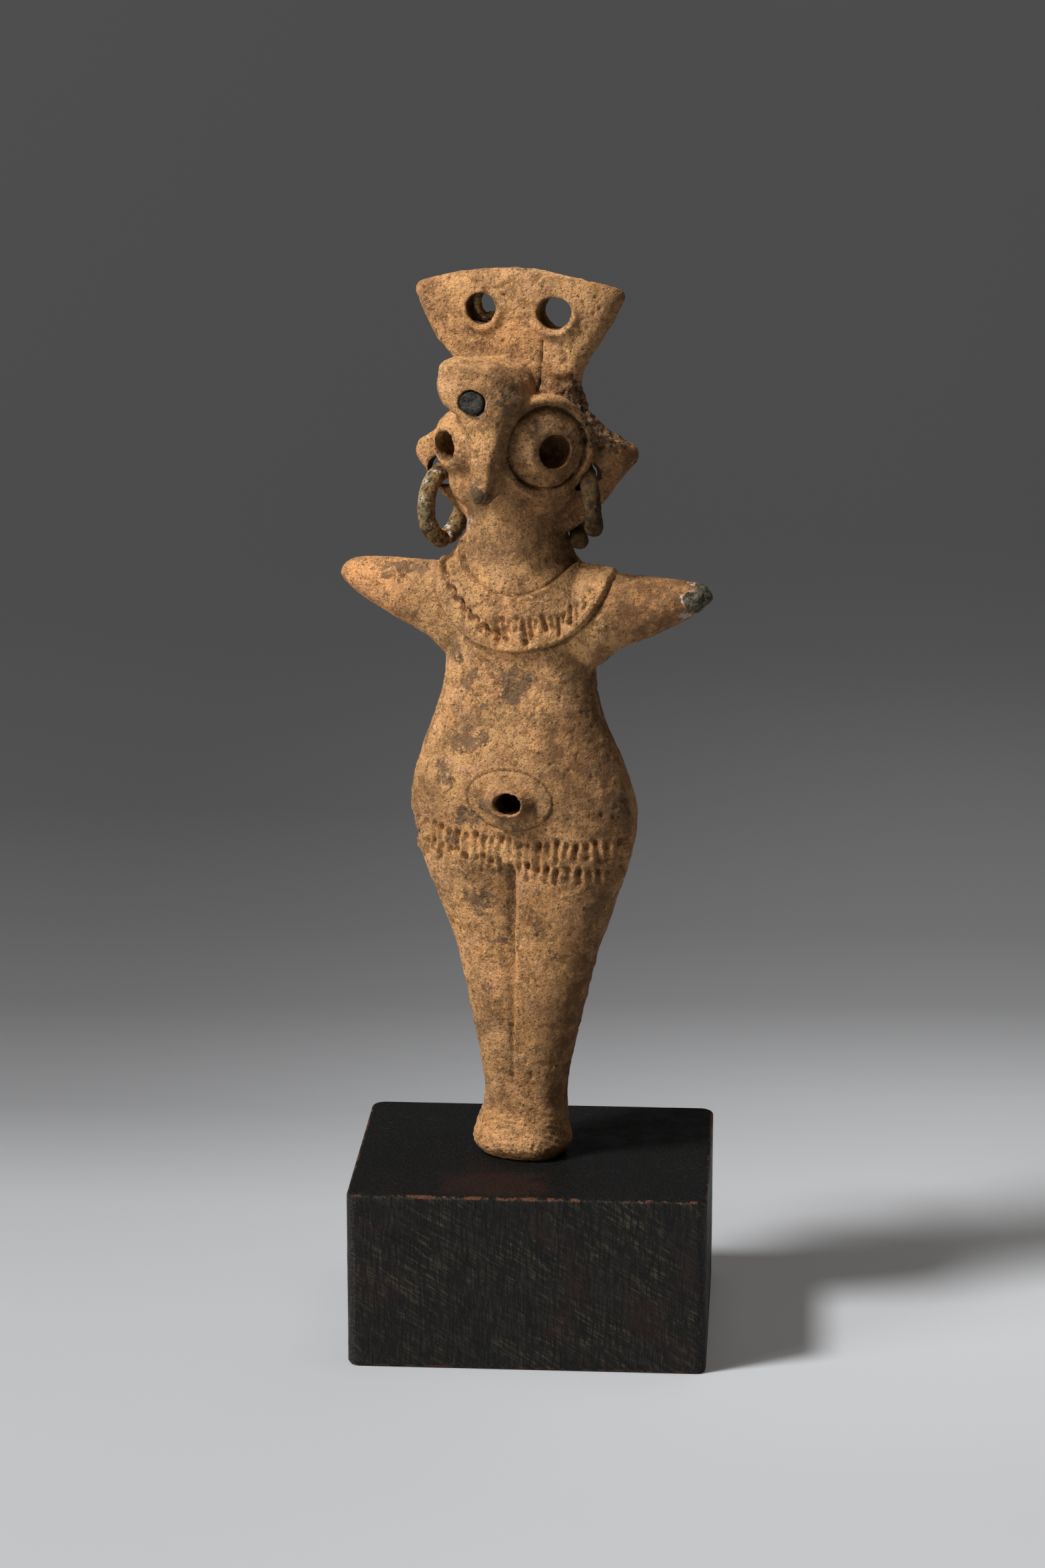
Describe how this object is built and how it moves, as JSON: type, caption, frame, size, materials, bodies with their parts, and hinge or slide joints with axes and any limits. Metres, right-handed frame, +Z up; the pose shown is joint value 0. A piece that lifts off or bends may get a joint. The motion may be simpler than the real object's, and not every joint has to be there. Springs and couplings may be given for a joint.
{
  "type": "terracotta idol on wooden base",
  "caption": "Slender standing idol of fired clay with a beaked face, pierced fan headdress, hoop earrings and outstretched stub arms, displayed on a dark wood block.",
  "frame": {"origin": "centre of the wood block's underside", "axes": "+Z up; -Y is the block's front and +X its right side seen from the front. The clay figure stands on the block turned 16 degrees clockwise seen from above, so it faces a little towards -X."},
  "size_m": [0.06, 0.045, 0.172],
  "materials": {
    "terracotta": "matt sandy fired clay, tan to orange, with grey and black soil stains and dark specks",
    "dark_wood": "black-stained wood with a dull wax sheen, rubbed to red-brown along its edges",
    "corroded_bronze": "corroded copper alloy, brown under a yellow-green and pale crust",
    "dark_inlay": "smooth dark grey-green, glossy"
  },
  "bodies": {
    "root": {"clay_figure": "terracotta", "wood_block": "dark_wood", "left_earring": "corroded_bronze", "right_earring": "corroded_bronze", "headdress_ring_stub": "corroded_bronze", "forehead_inlay": "dark_inlay"}
  },
  "joints": []
}
